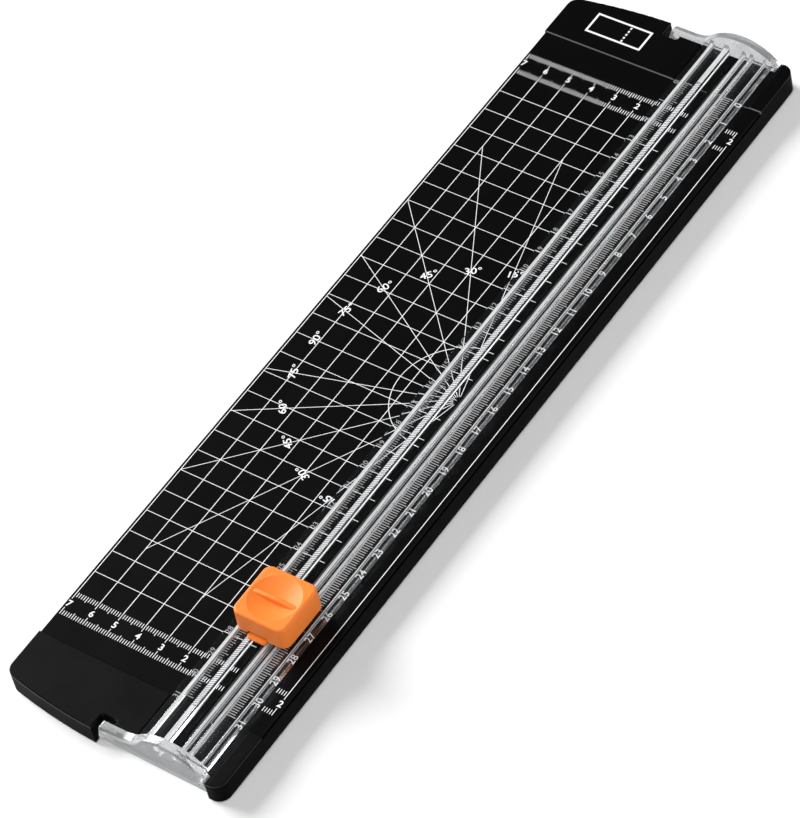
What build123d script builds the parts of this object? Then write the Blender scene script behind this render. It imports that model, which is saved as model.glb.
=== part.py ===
from build123d import *
import math
import os

# Rotary paper trimmer for A4 sheets, in millimetres.
# +Y runs along the cut to the end where the rulers start, +X to the narrow side, +Z up.
# The origin is on the table, under the middle of the base.

# ---- base -------------------------------------------------------------------
base_length = 360.0
base_width = 94.0
foot_drop = 0.8             # how far the rubber feet stand below the frame
frame_top = 7.8             # the frame's upper edge, which carries the panel
plate_z = 9.0               # top of the ruled plate
block_raise = 0.6           # the two end blocks stand this much above the plate
block_y = 156.0             # the steps between plate and end blocks
cut_x = 24.5                # the cutting line
wall = 2.0                  # side walls of the frame
shadow_gap = 0.4            # height of the dark joint line round the base
shadow_inset = 0.6          # its depth
plate_inset = 0.5           # the plate's long edges stand back from the end blocks
end_taper = 5.0             # how far the wide part of each end falls back at its corner
corner_radius = 4.5
block_edge_radius = 0.35

recess_y = 175.5            # where the end walls stand back behind the clear end caps
recess_right = cut_x + 16.4
notch_left = cut_x - 31.2   # finger notch under the rail's lifting tab
notch_right = cut_x - 24.4
notch_y = 173.3
notch_corner = 1.2
rail_bed_left = cut_x - 15.0    # low bed between the raised blocks, for the rail
rail_bed_right = cut_x + 17.4

rib_thickness = 1.2
rib_bottom = 2.0
long_rib_xs = (-16.0, 15.0)
cross_rib_pitch = 32.0
cross_rib_count = 10

side_screw_xs = (37.0,)
plate_screw_ys = (-144.0, -48.0, 48.0, 144.0)
block_screw_xs = (-16.0, 15.0)
block_screw_y = 166.5
seam_gap = 0.05             # joint between the plates and each end block
boss_radius = 4.2
boss_top = 4.4
panel_boss_radius = 3.2
screw_shank = 1.1
screw_head_radius = 2.3
screw_head_height = 1.2
screw_seat_z = 3.0
screw_tip_z = 7.9

foot_radius = 5.5
foot_seat_z = 1.6
foot_pad_radius = 7.2
foot_pad_top = 4.0
foot_stem_radius = 1.5
foot_stem_top = 3.4
foot_xs = (-38.8, 38.8)
foot_ys = (-162.0, 0.0, 162.0)

# ---- cutting strip ------------------------------------------------------------
strip_left = cut_x - 0.5
strip_right = cut_x + 3.5
strip_half_length = 167.0
strip_flange = 1.0
strip_flange_z = 6.8
strip_play = 0.05
blade_groove_width = 0.8
blade_groove_depth = 1.1

# ---- clear rail: two strips joined by two end caps ------------------------------
rail_under = plate_z + 0.4      # the gap that the paper slides into
flange_top = plate_z + 1.8
rail_left_reach = -14.1         # outer edges as offsets from the cutting line
rail_right_reach = 15.4
slot_half = 2.85
guide_rib_top = plate_z + 3.1
side_rib_top = plate_z + 2.8
rib_edge_radius = 0.25
# ribs as offsets from the cutting line: left side, right side, top height
left_ribs = (
    (-10.9, -9.3, side_rib_top),
    (-4.9, -slot_half, guide_rib_top),
)
right_ribs = (
    (slot_half, 4.3, guide_rib_top),
    (6.2, 7.7, guide_rib_top),
    (12.0, 12.8, side_rib_top),
)
keeper_groove_depth = 0.9
keeper_groove_bottom = plate_z + 0.9
keeper_groove_top = plate_z + 1.8
right_bevel_width = 1.9         # lets the right edge swing down past the plate
right_bevel_height = 1.05

end_cap_inner_y = 175.9
end_cap_outer_y = 179.7
end_cap_round = 1.5
gusset_length = 3.0             # where each rib curves up into an end cap
gusset_height = 1.6

hinge_x = cut_x + 14.2
hinge_z = plate_z - 2.4
hinge_ear_radius = 1.85
hinge_pin_radius = 0.75
hinge_pin_inner_y = 167.5
hinge_pin_outer_y = 179.4
hinge_running_gap = 0.06
hinge_boss_y = 166.0
hinge_boss_left = cut_x + 11.0

# ---- carriage and press cap -----------------------------------------------------
rest_y = -114.1                 # where the carriage is parked
cap_left = cut_x - 10.0
cap_right = cut_x + 11.8
cap_half_length = 11.1
cap_bottom = plate_z + 4.5
cap_top = plate_z + 13.9
cap_draft = 1.2                 # degrees
cap_corner = 3.2
cap_edge_radius = 0.9
cap_wall = 1.3
cap_ceiling = plate_z + 10.65
dish_radius = 9.6
dish_depth = 1.9
ridge_half_length = 8.9
ridge_thickness = 1.9
ridge_rise = 0.35
press_travel = 1.1

carriage_bottom = plate_z + 3.35
carriage_top = plate_z + 4.5
carriage_gap = 0.3
carriage_half_length = 9.5
guide_half_width = 2.6
guide_bottom = plate_z + 2.0
window_half_length = 6.3
window_half_width = 2.1
tongue_left = cut_x - 4.4
tongue_right = cut_x + 3.6
tongue_reach = 12.5
tongue_end_drop = 0.5
post_radius = 0.8
post_height = 1.5

shoe_inner = 6.6
shoe_outer = 9.5
shoe_bottom = plate_z + 0.75
shoe_tab_half_width = 3.45
shoe_tab_bottom = plate_z + 1.15
shoe_tab_top = plate_z + 1.6
shoe_screw_offset = 8.05
shoe_screw_radius = 0.6
shoe_screw_head_radius = 1.1
shoe_screw_head_height = 0.6
shoe_screw_tip = plate_z + 4.0

spring_offset = 7.7
spring_radius = 1.35            # to the middle of the wire
spring_wire = 0.2               # wire radius
spring_turns = 5.0

# ---- blade ----------------------------------------------------------------------
blade_radius = 4.7
blade_thickness = 0.3
blade_bevel = 0.9
blade_z = plate_z + 0.6 + blade_radius
hub_radius = 1.65
hub_flange_radius = 2.5
hub_half_width = 0.65
hub_bore_gap = 0.06
axle_radius = 0.8
cheek_inner = 0.8
cheek_outer = 1.75
cheek_half_length = 5.6
cheek_bottom = plate_z + 2.2
lug_outer = 2.45
lug_inner_y = 4.4
lug_top = plate_z + 3.05
holder_plate_bottom = plate_z + 9.3
holder_plate_half_width = 6.2
holder_plate_half_length = 5.6
holder_slot_half_width = 0.6
holder_slot_half_length = 4.6
holder_screw_offset = 4.5
holder_screw_radius = 0.7
holder_screw_head_radius = 1.3
holder_screw_head_height = 0.8
holder_screw_depth = 2.4


# ---- helpers ----------------------------------------------------------------------
def block(x0, x1, y0, y1, z0, z1):
    """A box between two corners."""
    middle = Pos((x0 + x1) / 2, (y0 + y1) / 2, (z0 + z1) / 2)
    return middle * Box(x1 - x0, y1 - y0, z1 - z0)


def post(x, y, z0, z1, radius):
    """An upright cylinder."""
    return Pos(x, y, (z0 + z1) / 2) * Cylinder(radius, z1 - z0)


def axle_along_x(y, z, x0, x1, radius):
    """A cylinder whose axis lies along X."""
    return Pos((x0 + x1) / 2, y, z) * Rot(0, 90, 0) * Cylinder(radius, x1 - x0)


def pin_along_y(x, z, y0, y1, radius):
    """A cylinder whose axis lies along Y."""
    return Pos(x, (y0 + y1) / 2, z) * Rot(90, 0, 0) * Cylinder(radius, abs(y1 - y0))


def lift(face, z0, z1):
    """A face on the XY plane, raised into a solid between two heights."""
    return Pos(0, 0, z0) * extrude(face, amount=z1 - z0)


def base_outline():
    """Plan of the base: tapered wide ends, finger notches and the end wall recesses."""
    left = -base_width / 2
    right = base_width / 2
    end = base_length / 2
    taper_middle = ((left + notch_left) / 2, -end + end_taper * 0.32)
    lower_half = [
        Line((left, 0), (left, -end + end_taper)),
        ThreePointArc((left, -end + end_taper), taper_middle, (notch_left, -end)),
        Polyline(
            (notch_left, -end),
            (notch_left, -notch_y),
            (notch_right, -notch_y),
            (notch_right, -recess_y),
            (recess_right, -recess_y),
            (recess_right, -end),
            (right, -end),
            (right, 0),
            (left, 0),
        ),
    ]
    half = make_face(Curve() + lower_half)
    outer = [v for v in half.vertices() if abs(abs(v.X) - right) < 0.01 and v.Y < -100]
    half = fillet(outer, corner_radius)
    inner = [v for v in half.vertices() if abs(v.Y + notch_y) < 0.01]
    half = fillet(inner, notch_corner)
    return half + mirror(half, Plane.XZ)


def screw_places():
    """Where the cover screws stand: under both plates and both end blocks."""
    places = [(x, y) for x in long_rib_xs + side_screw_xs for y in plate_screw_ys]
    return places + [(x, side * block_screw_y) for x in block_screw_xs for side in (-1, 1)]


# ---- base body --------------------------------------------------------------------
def make_cover_blank(outline):
    """Everything that covers the frame, before it is cut into plates and end blocks."""
    blank = lift(offset(outline, -shadow_inset), frame_top, frame_top + shadow_gap)
    return blank + lift(outline, frame_top + shadow_gap, plate_z)


def make_screw_boss(x, y):
    """Boss under a cover, with the pilot hole of its screw."""
    boss = post(x, y, boss_top + 0.1, frame_top + 0.2, panel_boss_radius)
    return boss, post(x, y, boss_top, screw_tip_z + 0.1, screw_shank + 0.05)


def make_plate(outline, x0, x1, screw_xs):
    """Flat plate between the two end blocks, on one side of the cutting strip."""
    y = block_y - seam_gap
    plate = make_cover_blank(outline) & block(x0, x1, -y, y, frame_top, plate_z)
    for screw_x in screw_xs:
        for screw_y in plate_screw_ys:
            boss, hole = make_screw_boss(screw_x, screw_y)
            plate = plate + boss - hole
    return plate


def make_end_block(outline):
    """Raised cover at the far end, with the low bed for the rail and the finger notch."""
    half_width = base_width / 2
    end = base_length / 2
    zone = block(-half_width, half_width, block_y, end, frame_top, plate_z)
    cover = make_cover_blank(outline) & zone
    raised = lift(outline, plate_z, plate_z + block_raise)
    for x0, x1 in ((-half_width, rail_bed_left), (rail_bed_right, half_width)):
        cover += raised & block(x0, x1, block_y, end, plate_z, plate_z + block_raise)
    cover -= block(strip_left, strip_right, 0, strip_half_length, frame_top, plate_z)
    top = cover.edges().filter_by_position(Axis.Z, plate_z + block_raise - 0.01,
                                           plate_z + block_raise + 0.01)
    cover = fillet(top, block_edge_radius)
    for x in block_screw_xs:
        boss, hole = make_screw_boss(x, block_screw_y)
        cover = cover + boss - hole
    return cover


def make_bottom_frame(outline):
    """Open-bottomed moulded frame: side walls, a lattice of ribs, screw and foot seats."""
    inside = offset(outline, -wall)
    frame = lift(outline, foot_drop, frame_top) - lift(inside, 0, base_length)
    ribs = Part()
    half_span = base_width / 2 - wall / 2
    for x in long_rib_xs:
        ribs += block(x - rib_thickness / 2, x + rib_thickness / 2,
                      -base_length / 2, base_length / 2, rib_bottom, frame_top)
    first = -cross_rib_pitch * (cross_rib_count - 1) / 2
    for i in range(cross_rib_count):
        y = first + i * cross_rib_pitch
        ribs += block(-half_span, half_span, y - rib_thickness / 2, y + rib_thickness / 2,
                      rib_bottom, frame_top)
    for side in (-1, 1):
        y0, y1 = sorted((side * hinge_boss_y, side * recess_y))
        ribs += block(hinge_boss_left, recess_right + wall, y0, y1, foot_drop, frame_top)
    frame += ribs & lift(outline, foot_drop, frame_top)
    for x in foot_xs:
        for y in foot_ys:
            frame += post(x, y, foot_drop, foot_pad_top, foot_pad_radius)
            frame -= post(x, y, foot_drop - 1, foot_seat_z, foot_radius + 0.15)
            frame -= post(x, y, foot_drop, foot_pad_top + 1, foot_stem_radius + 0.1)
    for x, y in screw_places():
        frame -= post(x, y, boss_top, frame_top + 1, panel_boss_radius + 0.3)
        frame += post(x, y, rib_bottom - 0.4, boss_top, boss_radius)
        frame -= post(x, y, 0, screw_seat_z, screw_head_radius + 0.3)
        frame -= post(x, y, 0, boss_top + 1, screw_shank + 0.2)
    frame -= block(strip_left - strip_flange - 0.1, strip_right + strip_flange + 0.1,
                   -strip_half_length - 0.1, strip_half_length + 0.1,
                   strip_flange_z - 0.05, frame_top + 1)
    for side in (-1, 1):
        frame -= pin_along_y(hinge_x, hinge_z, side * (hinge_pin_inner_y - 0.2),
                             side * base_length / 2, hinge_pin_radius + 0.02)
    return frame


def make_cutting_strip():
    """T-section strip that the blade runs on, with its groove under the cutting line."""
    half = strip_half_length - strip_play
    strip = block(strip_left + strip_play, strip_right - strip_play, -half, half,
                  strip_flange_z, plate_z - strip_play)
    strip += block(strip_left - strip_flange, strip_right + strip_flange, -half, half,
                   strip_flange_z, frame_top - strip_play)
    strip -= block(cut_x - blade_groove_width / 2, cut_x + blade_groove_width / 2,
                   -half, half, plate_z - blade_groove_depth, plate_z)
    return strip


def make_cover_screw(x, y):
    """Self-tapping screw, put in from below."""
    head_bottom = screw_seat_z - screw_head_height
    screw = post(x, y, head_bottom, screw_seat_z, screw_head_radius)
    screw += post(x, y, screw_seat_z, screw_tip_z, screw_shank)
    screw -= post(x, y, head_bottom, head_bottom + 0.6, 0.9)
    return screw


def make_foot(x, y):
    """Rubber foot with a stem that plugs into the frame."""
    foot = post(x, y, 0, foot_seat_z, foot_radius)
    foot = fillet(foot.edges().group_by(Axis.Z)[0], 0.4)
    foot += post(x, y, foot_seat_z, foot_stem_top, foot_stem_radius)
    return foot


def make_hinge_pin(side):
    """Steel pin that the rail turns on, held in the frame's end wall."""
    pin = pin_along_y(hinge_x, hinge_z, side * hinge_pin_inner_y, side * hinge_pin_outer_y,
                      hinge_pin_radius)
    return chamfer(pin.edges(), 0.15)


# ---- rail body ----------------------------------------------------------------------
def end_cap_face():
    """Front shape of an end cap: lifting tab, S curve, arch and hinge ear."""
    def at(x, z):
        return (cut_x + x, plate_z + z)

    ear_top = (cut_x + 15.1, hinge_z + 1.6)
    ear_side = (hinge_x + hinge_ear_radius, hinge_z)
    outline = Curve() + [
        Line(at(-27.6, -4.2), at(-29.7, -3.1)),
        Line(at(-29.7, -3.1), at(-28.7, 0.5)),
        ThreePointArc(at(-28.7, 0.5), at(-28.3, 1.1), at(-27.6, 1.3)),
        Line(at(-27.6, 1.3), at(-19.5, 1.3)),
        ThreePointArc(at(-19.5, 1.3), at(-15.8, 1.95), at(-12.5, 3.65)),
        ThreePointArc(at(-12.5, 3.65), at(1.8, 9.0), at(15.5, 3.2)),
        Line(at(15.5, 3.2), at(15.7, 2.45)),
        Line(at(15.7, 2.45), at(14.45, 1.75)),
        Line(at(14.45, 1.75), at(14.45, 0.2)),
        Line(at(14.45, 0.2), ear_top),
        ThreePointArc(ear_top, (hinge_x + 1.64, hinge_z + 0.86), ear_side),
        Line(ear_side, at(15.9, -5.3)),
        Line(at(15.9, -5.3), at(-27.6, -4.2)),
    ]
    return make_face(Plane.XZ * outline)


def make_gusset(left, right, top):
    """Sloping web that stands on the end of one rib, rooted in the far end cap."""
    y = end_cap_inner_y
    side = make_face(Plane.YZ * Polyline(
        (y - gusset_length, top),
        (y + 0.2, top),
        (y + 0.2, top + gusset_height),
        (y, top + gusset_height),
        (y - gusset_length * 0.36, top + gusset_height * 0.3),
        (y - gusset_length, top),
    ))
    return Pos(cut_x + left, 0, 0) * extrude(side, amount=right - left, dir=(1, 0, 0))


def make_end_cap():
    """Clear end cap at the far end, with a rounded outer rim, gussets and hinge hole."""
    thickness = end_cap_outer_y - end_cap_inner_y
    cap = extrude(end_cap_face(), amount=thickness, dir=(0, 1, 0))
    cap = Pos(0, end_cap_inner_y, 0) * cap
    rim = [e for e in cap.edges().filter_by_position(Axis.Y, end_cap_outer_y - 0.01,
                                                     end_cap_outer_y + 0.01)
           if e.center().Z > plate_z + 1.2 and e.length > 5]
    cap = fillet(rim, end_cap_round)
    for left, right, top in left_ribs + right_ribs:
        cap += make_gusset(left, right, top)
    cap -= pin_along_y(hinge_x, hinge_z, end_cap_inner_y - 1, end_cap_outer_y + 1,
                       hinge_pin_radius + hinge_running_gap)
    return cap


def make_rail_strip(inner, outer, ribs):
    """One side of the rail: a flange with its ribs and the keeper groove at the slot."""
    y = end_cap_inner_y
    x0, x1 = sorted((cut_x + inner, cut_x + outer))
    strip = block(x0, x1, -y, y, rail_under, flange_top)
    for left, right, top in ribs:
        strip += block(cut_x + left, cut_x + right, -y, y, rail_under, top)
    rib_edges = [e for e in strip.edges().filter_by(Axis.Y)
                 if e.center().Z > flange_top + 0.5]
    strip = fillet(rib_edges, rib_edge_radius)
    strip -= block(cut_x - slot_half - keeper_groove_depth,
                   cut_x + slot_half + keeper_groove_depth,
                   -y, y, keeper_groove_bottom, keeper_groove_top)
    return strip


def make_left_strip():
    """Strip on the paper side, its outer edge chamfered on top."""
    strip = make_rail_strip(-slot_half, rail_left_reach, left_ribs)
    edge = [e for e in strip.edges().filter_by(Axis.Y)
            if abs(e.center().X - cut_x - rail_left_reach) < 0.01
            and e.center().Z > flange_top - 0.1]
    return chamfer(edge, 0.5)


def make_right_strip():
    """Strip on the hinge side, bevelled below so that its edge clears the plate."""
    strip = make_rail_strip(slot_half, rail_right_reach, right_ribs)
    right = cut_x + rail_right_reach
    bevel = make_face(Plane.XZ * Polyline(
        (right - right_bevel_width, rail_under),
        (right + 0.1, rail_under),
        (right + 0.1, rail_under + right_bevel_height + 0.05),
        (right - right_bevel_width, rail_under),
    ))
    return strip - extrude(bevel, amount=end_cap_inner_y + 1, both=True)


# ---- carriage body --------------------------------------------------------------------
def make_carriage():
    """Sliding frame under the cap, with a guide in the slot, two tongues and posts."""
    inner_left = cap_left + cap_wall + carriage_gap
    inner_right = cap_right - cap_wall - carriage_gap
    body = block(inner_left, inner_right, -carriage_half_length, carriage_half_length,
                 carriage_bottom, carriage_top)
    body = fillet(body.edges().filter_by(Axis.Z), cap_corner - cap_wall)
    body += block(cut_x - guide_half_width, cut_x + guide_half_width,
                  -carriage_half_length, carriage_half_length, guide_bottom, carriage_bottom)
    tongue = block(tongue_left, tongue_right, -tongue_reach, tongue_reach,
                   carriage_bottom, carriage_top)
    tongue = fillet(tongue.edges().filter_by(Axis.Z), 1.2)
    tips = [e for e in tongue.edges().filter_by(Axis.X)
            if e.center().Z > carriage_top - 0.01]
    body += chamfer(tips, tongue_end_drop)
    body -= block(cut_x - window_half_width, cut_x + window_half_width,
                  -window_half_length, window_half_length, guide_bottom, carriage_top)
    body -= block(cut_x - guide_half_width, cut_x + guide_half_width,
                  -window_half_length, window_half_length, guide_bottom, carriage_bottom)
    for side in (-1, 1):
        body += post(cut_x, side * spring_offset, carriage_top, carriage_top + post_height,
                     post_radius)
        body -= post(cut_x, side * shoe_screw_offset, guide_bottom, shoe_screw_tip + 0.1,
                     shoe_screw_radius + 0.05)
    return Pos(0, rest_y, 0) * body


def make_glide_shoe(side):
    """Shoe screwed under the carriage; its tabs run in the rail's keeper grooves."""
    y0, y1 = sorted((side * shoe_inner, side * shoe_outer))
    shoe = block(cut_x - guide_half_width, cut_x + guide_half_width, y0, y1,
                 shoe_bottom, guide_bottom)
    shoe += block(cut_x - shoe_tab_half_width, cut_x + shoe_tab_half_width, y0, y1,
                  shoe_tab_bottom, shoe_tab_top)
    y = side * shoe_screw_offset
    shoe -= post(cut_x, y, shoe_bottom, guide_bottom, shoe_screw_radius + 0.15)
    shoe -= post(cut_x, y, shoe_bottom, shoe_bottom + shoe_screw_head_height + 0.05,
                 shoe_screw_head_radius + 0.1)
    return Pos(0, rest_y, 0) * shoe


def make_shoe_screw(side):
    """Small screw that holds a glide shoe."""
    y = rest_y + side * shoe_screw_offset
    head_top = shoe_bottom + shoe_screw_head_height
    screw = post(cut_x, y, shoe_bottom, head_top, shoe_screw_head_radius)
    return screw + post(cut_x, y, head_top, shoe_screw_tip, shoe_screw_radius)


def make_return_spring(side):
    """Coil spring that lifts the cap, standing on a carriage post."""
    bottom = carriage_top + spring_wire + 0.02
    height = cap_ceiling - carriage_top - 2 * spring_wire - 0.04
    path = Helix(pitch=height / spring_turns, height=height, radius=spring_radius)
    section = Plane(origin=path @ 0, z_dir=path % 0) * Circle(spring_wire)
    coil = sweep(section, path=path)
    return Pos(cut_x, rest_y + side * spring_offset, bottom) * coil


# ---- head body ------------------------------------------------------------------------
def make_press_cap():
    """Hollow thumb cap with a dished top and a grip ridge across it."""
    middle_x = (cap_left + cap_right) / 2
    width = cap_right - cap_left
    height = cap_top - cap_bottom
    spread = height * math.tan(math.radians(cap_draft))
    foot_face = RectangleRounded(width + spread, 2 * cap_half_length + spread, cap_corner)
    shell = extrude(foot_face, amount=height, taper=cap_draft)
    shell = fillet(shell.edges().group_by(Axis.Z)[-1], cap_edge_radius)
    shell = Pos(middle_x, 0, cap_bottom) * shell
    ball_radius = (dish_radius ** 2 + dish_depth ** 2) / (2 * dish_depth)
    shell -= Pos(middle_x, 0, cap_top - dish_depth + ball_radius) * Sphere(ball_radius)
    ridge_face = make_face(Plane.XZ * (Curve() + [
        Line((middle_x - ridge_half_length, cap_top - dish_depth),
             (middle_x + ridge_half_length, cap_top - dish_depth)),
        Line((middle_x + ridge_half_length, cap_top - dish_depth),
             (middle_x + ridge_half_length, cap_top - ridge_rise)),
        ThreePointArc((middle_x + ridge_half_length, cap_top - ridge_rise),
                      (middle_x, cap_top + ridge_rise),
                      (middle_x - ridge_half_length, cap_top - ridge_rise)),
        Line((middle_x - ridge_half_length, cap_top - ridge_rise),
             (middle_x - ridge_half_length, cap_top - dish_depth)),
    ]))
    ridge = extrude(ridge_face, amount=ridge_thickness / 2, both=True)
    crest = [e for e in ridge.edges() if e.center().Z > cap_top and e.length > ridge_half_length]
    shell += fillet(crest, ridge_thickness * 0.4)
    cavity = RectangleRounded(width - 2 * cap_wall, 2 * (cap_half_length - cap_wall),
                              cap_corner - cap_wall + 0.3)
    shell -= Pos(middle_x, 0, cap_bottom) * extrude(cavity, amount=cap_ceiling - cap_bottom)
    shell -= block(tongue_left - 0.3, tongue_right + 0.3, -cap_half_length - 1,
                   cap_half_length + 1, cap_bottom, cap_bottom + press_travel + 0.3)
    for side in (-1, 1):
        shell -= post(cut_x + side * holder_screw_offset, 0, cap_ceiling,
                      cap_ceiling + holder_screw_depth, holder_screw_radius + 0.05)
    return Pos(0, rest_y, 0) * shell


def make_blade_holder():
    """Fork that carries the blade: top plate, two cheeks and four snap lugs."""
    holder = block(cut_x - holder_plate_half_width, cut_x + holder_plate_half_width,
                   -holder_plate_half_length, holder_plate_half_length,
                   holder_plate_bottom, cap_ceiling - 0.02)
    for side in (-1, 1):
        x0, x1 = sorted((cut_x + side * cheek_inner, cut_x + side * cheek_outer))
        holder += block(x0, x1, -cheek_half_length, cheek_half_length,
                        cheek_bottom, holder_plate_bottom)
        x0, x1 = sorted((cut_x + side * cheek_inner, cut_x + side * lug_outer))
        for end in (-1, 1):
            y0, y1 = sorted((end * lug_inner_y, end * cheek_half_length))
            holder += block(x0, x1, y0, y1, cheek_bottom, lug_top)
        holder -= post(cut_x + side * holder_screw_offset, 0, holder_plate_bottom,
                       cap_ceiling, holder_screw_radius + 0.15)
    holder -= block(cut_x - holder_slot_half_width, cut_x + holder_slot_half_width,
                    -holder_slot_half_length, holder_slot_half_length,
                    holder_plate_bottom, cap_ceiling)
    holder -= axle_along_x(0, blade_z, cut_x - 3, cut_x + 3, axle_radius + 0.02)
    return Pos(0, rest_y, 0) * holder


def make_holder_screw(side):
    """Screw from the holder's plate up into the cap."""
    x = cut_x + side * holder_screw_offset
    head = post(x, rest_y, holder_plate_bottom - holder_screw_head_height,
                holder_plate_bottom, holder_screw_head_radius)
    tip = cap_ceiling + holder_screw_depth - 0.2
    return head + post(x, rest_y, holder_plate_bottom, tip, holder_screw_radius)


def make_blade_axle():
    """Steel axle through both cheeks."""
    axle = axle_along_x(rest_y, blade_z, cut_x - cheek_outer, cut_x + cheek_outer, axle_radius)
    return chamfer(axle.edges(), 0.12)


# ---- blade body -------------------------------------------------------------------------
def make_blade():
    """Round blade, ground to an edge from both sides."""
    half = blade_thickness / 2
    profile = make_face(Plane.XZ * Polyline(
        (-half, hub_radius + 0.02),
        (half, hub_radius + 0.02),
        (half, blade_radius - blade_bevel),
        (0.02, blade_radius),
        (-0.02, blade_radius),
        (-half, blade_radius - blade_bevel),
        (-half, hub_radius + 0.02),
    ))
    return Pos(cut_x, rest_y, blade_z) * revolve(profile, Axis.X)


def make_blade_hub():
    """Flanged plastic hub in the blade, running on the axle."""
    half = blade_thickness / 2
    hub = axle_along_x(0, 0, -hub_half_width, hub_half_width, hub_radius)
    hub += axle_along_x(0, 0, half + 0.02, hub_half_width, hub_flange_radius)
    hub -= axle_along_x(0, 0, -2, 2, axle_radius + hub_bore_gap)
    return Pos(cut_x, rest_y, blade_z) * hub


def make_blade_washer():
    """Ring that clamps the blade against the hub's flange."""
    half = blade_thickness / 2
    ring = axle_along_x(0, 0, -hub_half_width, -half - 0.02, hub_flange_radius)
    ring -= axle_along_x(0, 0, -2, 2, hub_radius + 0.02)
    return Pos(cut_x, rest_y, blade_z) * ring


# ---- write ------------------------------------------------------------------------------
def write(name, shape):
    export_step(shape, "parts/" + name + ".step")


def main():
    os.makedirs("parts", exist_ok=True)
    outline = base_outline()
    side = base_width / 2 - plate_inset
    write("ruled_plate", make_plate(outline, -side, strip_left, long_rib_xs))
    write("side_plate", make_plate(outline, strip_right, side, side_screw_xs))
    end_block = make_end_block(outline)
    write("end_block_far", end_block)
    write("end_block_near", mirror(end_block, Plane.XZ))
    write("bottom_frame", make_bottom_frame(outline))
    write("cutting_strip", make_cutting_strip())
    screws = [make_cover_screw(x, y) for x, y in screw_places()]
    write("cover_screws", Compound(children=screws))
    number = 0
    for y in foot_ys:
        for x in foot_xs:
            number += 1
            write("rubber_foot_" + str(number), make_foot(x, y))
    ends = (("near", -1), ("far", 1))
    for end_name, side in ends:
        write("hinge_pin_" + end_name, make_hinge_pin(side))
        write("glide_shoe_" + end_name, make_glide_shoe(side))
        write("return_spring_" + end_name, make_return_spring(side))
    write("rail_strip_left", make_left_strip())
    write("rail_strip_right", make_right_strip())
    end_cap = make_end_cap()
    write("rail_end_far", end_cap)
    write("rail_end_near", mirror(end_cap, Plane.XZ))
    write("carriage", make_carriage())
    write("shoe_screws", Compound(children=[make_shoe_screw(side) for _, side in ends]))
    write("press_cap", make_press_cap())
    write("blade_holder", make_blade_holder())
    write("holder_screws", Compound(children=[make_holder_screw(side) for side in (-1, 1)]))
    write("blade_axle", make_blade_axle())
    write("blade", make_blade())
    write("blade_hub", make_blade_hub())
    write("blade_washer", make_blade_washer())


main()
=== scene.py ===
import math

import bpy
from bpy.props import FloatProperty, FloatVectorProperty, PointerProperty
from mathutils import Matrix, Vector


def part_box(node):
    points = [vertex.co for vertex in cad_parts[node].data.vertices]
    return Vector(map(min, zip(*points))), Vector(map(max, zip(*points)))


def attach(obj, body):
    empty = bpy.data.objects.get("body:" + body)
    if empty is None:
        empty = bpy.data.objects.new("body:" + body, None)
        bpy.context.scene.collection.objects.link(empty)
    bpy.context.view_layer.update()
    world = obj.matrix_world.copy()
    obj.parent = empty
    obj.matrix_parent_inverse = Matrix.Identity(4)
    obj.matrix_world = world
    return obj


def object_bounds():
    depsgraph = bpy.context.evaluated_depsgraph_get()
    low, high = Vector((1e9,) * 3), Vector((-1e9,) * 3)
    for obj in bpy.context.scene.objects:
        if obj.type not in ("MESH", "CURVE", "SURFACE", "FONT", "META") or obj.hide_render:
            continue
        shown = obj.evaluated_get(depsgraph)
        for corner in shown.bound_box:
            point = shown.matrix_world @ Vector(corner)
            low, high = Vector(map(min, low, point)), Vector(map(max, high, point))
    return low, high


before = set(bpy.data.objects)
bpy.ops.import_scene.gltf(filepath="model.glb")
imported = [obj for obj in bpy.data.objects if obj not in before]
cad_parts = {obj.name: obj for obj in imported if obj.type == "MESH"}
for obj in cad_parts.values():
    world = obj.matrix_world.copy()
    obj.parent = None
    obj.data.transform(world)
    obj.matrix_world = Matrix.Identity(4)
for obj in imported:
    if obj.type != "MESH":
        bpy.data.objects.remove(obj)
cad_low, cad_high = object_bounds()

bl_info = {
    "name": "Rotary paper trimmer",
    "version": (1, 0, 0),
    "blender": (4, 5, 0),
    "location": "View3D > Sidebar > Trimmer",
    "description": "Finishes, printing and studio for a rotary paper trimmer",
    "category": "Object",
}

MM = 0.001

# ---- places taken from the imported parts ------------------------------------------
left_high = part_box("rail_strip_left")[1]
right_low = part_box("rail_strip_right")[0]
block_low, block_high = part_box("end_block_far")
CUT_X = (left_high.x + right_low.x) / 2     # the cutting line runs down the slot's middle
MIDDLE_Y = -6.5 * MM                        # the protractor's centre along the cut
PLATE_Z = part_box("ruled_plate")[1].z
BLOCK_Z = block_high.z
FLANGE_Z = PLATE_Z + 1.8 * MM               # top of the rail's flanges

# Every printed place below is in millimetres from the cutting line and the middle.
GRID_LEFT, GRID_SIDE = -70, 20              # first and last line along the cut
GRID_NEAR, GRID_FAR = -130, 140             # the grid's ends
FILM_ROOT = 0.01 * MM                       # how deep a film is rooted in its surface
RIB_FILM = 0.02 * MM                        # thickness of the milky films that paint highlights on the rail
TICK_STEPS = (1, 5, 10)                     # ticks grow at each 5 and each 10 mm
TICK_REACHES = (1.9, 2.5, 3.1)
RAYS = ((75, 72.4), (60, 80.8), (45, 98.9), (30, 119.9), (15, 115.9))
LABELS = ((90, 62.0), (75, 62.1), (60, 62.3), (45, 61.0), (30, 60.0), (15, 59.2))
RAY_START = 2.0
ARC_X = -1.4                                # the arc's centre, a little left of the cut
ARC_END = 0.4                               # how far right of it the arc ends
LABEL_SHIFT = 0.8
LABEL_STRETCH = 1.18
MARK_PLACE = (-46.0, 174.0)                 # middle of the pictogram
RULER_START = 162                           # where the rulers on the rail begin
RULER_LENGTH = 310
RAIL_END = left_high.y / MM - 0.3           # half the length of the milky films of painted highlight
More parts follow.
